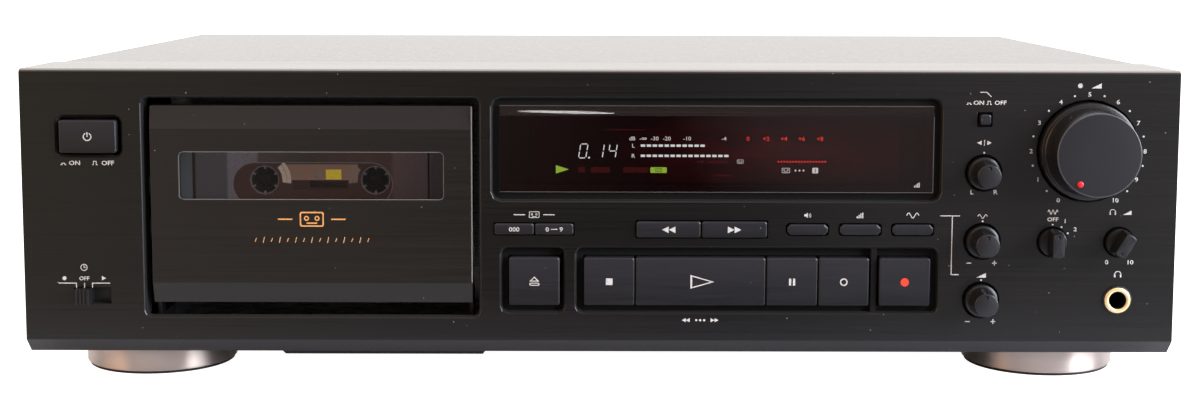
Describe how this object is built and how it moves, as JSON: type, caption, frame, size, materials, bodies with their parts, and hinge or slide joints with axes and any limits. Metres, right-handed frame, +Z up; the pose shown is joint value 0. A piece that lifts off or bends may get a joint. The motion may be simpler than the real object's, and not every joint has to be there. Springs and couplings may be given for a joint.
{
  "type": "cassette deck",
  "caption": "Full-width black cassette deck with a tilting cassette door, display window, transport keys, rotary controls and round feet.",
  "frame": {"origin": "on the surface under the feet, at the middle of the overall width and depth", "axes": "+X to the right as seen from the front, +Y to the rear, +Z up"},
  "size_m": [0.43, 0.3204, 0.1177],
  "materials": {
    "panel": "brushed black",
    "cover": "satin dark grey paint",
    "machined_steel": "machined",
    "foot": "champagne, brushed",
    "key": "moulded satin",
    "knob": "moulded satin",
    "door": "satin black with brushed grain",
    "smoked_window": "smoked, polished",
    "clear_window": "tinted, polished",
    "tube": "dark glass",
    "shell": "moulded",
    "hub": "moulded white",
    "circuit_board": "solder mask",
    "rubber": "matt",
    "gold": "gold plated",
    "red": "red inlay",
    "lacquer": "lacquered laminations"
  },
  "bodies": {
    "cabinet": {"front_panel": "panel", "top_cover": "cover", "bottom_chassis": "cover", "rear_panel": "cover", "foot_front_left": "foot", "foot_front_right": "foot", "foot_rear_left": "foot", "foot_rear_right": "foot", "display_window": "smoked_window", "display_tube": "tube", "display_board": "circuit_board", "key_board": "circuit_board", "power_switch": "knob", "timer_switch": "knob", "pot_board": "circuit_board", "headphone_jack": "knob", "transport_plate": "machined_steel", "capstan_motor": "machined_steel", "drive_belt": "rubber", "reel_motor": "machined_steel", "main_board": "circuit_board", "power_transformer": "lacquer", "line_sockets": "gold", "cord_bushing": "rubber"},
    "door": {"door_panel": "door", "door_window": "clear_window", "cassette_holder": "knob", "cassette_shell": "shell"},
    "cassette_reel_left": {"cassette_reel_left": "hub"},
    "cassette_reel_right": {"cassette_reel_right": "hub"},
    "reel_spindle_left": {"reel_spindle_left": "knob"},
    "reel_spindle_right": {"reel_spindle_right": "knob"},
    "capstan_flywheel": {"capstan_flywheel": "machined_steel"},
    "motor_pulley": {"motor_pulley": "gold"},
    "head_carriage": {"head_carriage": "machined_steel"},
    "pinch_roller": {"pinch_roller": "rubber"},
    "timer_slider": {"timer_slider": "knob"},
    "level_knob": {"level_knob": "knob", "level_knob_dot": "red"},
    "stop_button": {"stop_button": "key"},
    "play_button": {"play_button": "key"},
    "pause_button": {"pause_button": "key"},
    "rec_mute_button": {"rec_mute_button": "key"},
    "record_button": {"record_button": "key"},
    "eject_button": {"eject_button": "key"},
    "rewind_button": {"rewind_button": "key"},
    "fast_forward_button": {"fast_forward_button": "key"},
    "counter_reset_button": {"counter_reset_button": "key"},
    "counter_memory_button": {"counter_memory_button": "key"},
    "monitor_button": {"monitor_button": "key"},
    "display_mode_button": {"display_mode_button": "key"},
    "calibration_button": {"calibration_button": "key"},
    "filter_button": {"filter_button": "key"},
    "power_button": {"power_button": "key"},
    "balance_knob": {"balance_knob": "knob"},
    "bias_knob": {"bias_knob": "knob"},
    "cal_level_knob": {"cal_level_knob": "knob"},
    "selector_knob": {"selector_knob": "knob"},
    "phone_level_knob": {"phone_level_knob": "knob"}
  },
  "joints": [
    {"name": "door_tilt", "type": "hinge", "parent": "cabinet", "child": "door", "pos_m": [-0.10745, -0.13275, 0.0196], "axis": [1, 0, 0], "range_deg": [0, 25]},
    {"name": "spindle_left_spin", "type": "hinge", "parent": "cabinet", "child": "reel_spindle_left", "pos_m": [-0.1287, -0.10875, 0.0737], "axis": [0, 1, 0], "continuous": true},
    {"name": "reel_left_spin", "type": "hinge", "parent": "door", "child": "cassette_reel_left", "pos_m": [-0.1287, -0.1184, 0.0737], "axis": [0, 1, 0], "continuous": true},
    {"name": "spindle_right_spin", "type": "hinge", "parent": "cabinet", "child": "reel_spindle_right", "pos_m": [-0.0862, -0.10875, 0.0737], "axis": [0, 1, 0], "continuous": true},
    {"name": "reel_right_spin", "type": "hinge", "parent": "door", "child": "cassette_reel_right", "pos_m": [-0.0862, -0.1184, 0.0737], "axis": [0, 1, 0], "continuous": true},
    {"name": "capstan_spin", "type": "hinge", "parent": "cabinet", "child": "capstan_flywheel", "pos_m": [-0.08545, -0.10375, 0.0453], "axis": [0, 1, 0], "continuous": true},
    {"name": "motor_spin", "type": "hinge", "parent": "cabinet", "child": "motor_pulley", "pos_m": [-0.13945, -0.09875, 0.0453], "axis": [0, 1, 0], "continuous": true},
    {"name": "head_lift", "type": "slide", "parent": "cabinet", "child": "head_carriage", "axis": [0, 0, 1], "range_m": [0, 0.006], "stiffness_N_per_m": 60, "springref_m": -0.002},
    {"name": "pinch_roller_spin", "type": "hinge", "parent": "head_carriage", "child": "pinch_roller", "pos_m": [-0.08545, -0.1184, 0.0316], "axis": [0, 1, 0], "continuous": true},
    {"name": "stop_press", "type": "slide", "parent": "cabinet", "child": "stop_button", "axis": [0, 1, 0], "range_m": [0, 0.001], "stiffness_N_per_m": 400, "springref_m": -0.0005},
    {"name": "play_press", "type": "slide", "parent": "cabinet", "child": "play_button", "axis": [0, 1, 0], "range_m": [0, 0.001], "stiffness_N_per_m": 400, "springref_m": -0.0005},
    {"name": "pause_press", "type": "slide", "parent": "cabinet", "child": "pause_button", "axis": [0, 1, 0], "range_m": [0, 0.001], "stiffness_N_per_m": 400, "springref_m": -0.0005},
    {"name": "rec_mute_press", "type": "slide", "parent": "cabinet", "child": "rec_mute_button", "axis": [0, 1, 0], "range_m": [0, 0.001], "stiffness_N_per_m": 400, "springref_m": -0.0005},
    {"name": "record_press", "type": "slide", "parent": "cabinet", "child": "record_button", "axis": [0, 1, 0], "range_m": [0, 0.001], "stiffness_N_per_m": 400, "springref_m": -0.0005},
    {"name": "eject_press", "type": "slide", "parent": "cabinet", "child": "eject_button", "axis": [0, 1, 0], "range_m": [0, 0.001], "stiffness_N_per_m": 400, "springref_m": -0.0005},
    {"name": "rewind_press", "type": "slide", "parent": "cabinet", "child": "rewind_button", "axis": [0, 1, 0], "range_m": [0, 0.001], "stiffness_N_per_m": 400, "springref_m": -0.0005},
    {"name": "fast_forward_press", "type": "slide", "parent": "cabinet", "child": "fast_forward_button", "axis": [0, 1, 0], "range_m": [0, 0.001], "stiffness_N_per_m": 400, "springref_m": -0.0005},
    {"name": "counter_reset_press", "type": "slide", "parent": "cabinet", "child": "counter_reset_button", "axis": [0, 1, 0], "range_m": [0, 0.001], "stiffness_N_per_m": 400, "springref_m": -0.0005},
    {"name": "counter_memory_press", "type": "slide", "parent": "cabinet", "child": "counter_memory_button", "axis": [0, 1, 0], "range_m": [0, 0.001], "stiffness_N_per_m": 400, "springref_m": -0.0005},
    {"name": "monitor_press", "type": "slide", "parent": "cabinet", "child": "monitor_button", "axis": [0, 1, 0], "range_m": [0, 0.001], "stiffness_N_per_m": 400, "springref_m": -0.0005},
    {"name": "display_mode_press", "type": "slide", "parent": "cabinet", "child": "display_mode_button", "axis": [0, 1, 0], "range_m": [0, 0.001], "stiffness_N_per_m": 400, "springref_m": -0.0005},
    {"name": "calibration_press", "type": "slide", "parent": "cabinet", "child": "calibration_button", "axis": [0, 1, 0], "range_m": [0, 0.001], "stiffness_N_per_m": 400, "springref_m": -0.0005},
    {"name": "filter_press", "type": "slide", "parent": "cabinet", "child": "filter_button", "axis": [0, 1, 0], "range_m": [0, 0.001], "stiffness_N_per_m": 400, "springref_m": -0.0005},
    {"name": "power_press", "type": "slide", "parent": "cabinet", "child": "power_button", "axis": [0, 1, 0], "range_m": [0, 0.003], "stiffness_N_per_m": 250, "springref_m": -0.0005},
    {"name": "timer_slide", "type": "slide", "parent": "cabinet", "child": "timer_slider", "axis": [1, 0, 0], "range_m": [0, 0.006]},
    {"name": "balance_turn", "type": "hinge", "parent": "cabinet", "child": "balance_knob", "pos_m": [0.1427, -0.14375, 0.0796], "axis": [0, 1, 0], "range_deg": [-150, 150]},
    {"name": "bias_turn", "type": "hinge", "parent": "cabinet", "child": "bias_knob", "pos_m": [0.1427, -0.14375, 0.0539], "axis": [0, 1, 0], "range_deg": [-150, 150]},
    {"name": "cal_level_turn", "type": "hinge", "parent": "cabinet", "child": "cal_level_knob", "pos_m": [0.1427, -0.14375, 0.0317], "axis": [0, 1, 0], "range_deg": [-150, 150]},
    {"name": "selector_turn", "type": "hinge", "parent": "cabinet", "child": "selector_knob", "pos_m": [0.1689, -0.14375, 0.05371], "axis": [0, 1, 0], "range_deg": [0, 60]},
    {"name": "phone_level_turn", "type": "hinge", "parent": "cabinet", "child": "phone_level_knob", "pos_m": [0.1938, -0.14375, 0.05371], "axis": [0, 1, 0], "range_deg": [0, 300]},
    {"name": "level_turn", "type": "hinge", "parent": "cabinet", "child": "level_knob", "pos_m": [0.1813, -0.14375, 0.0879], "axis": [0, 1, 0], "range_deg": [0, 300]}
  ],
  "couplings": [
    {"joint": "reel_left_spin", "follows": "spindle_left_spin", "ratio": 1},
    {"joint": "reel_right_spin", "follows": "spindle_right_spin", "ratio": 1},
    {"joint": "motor_spin", "follows": "capstan_spin", "ratio": 5.2}
  ]
}
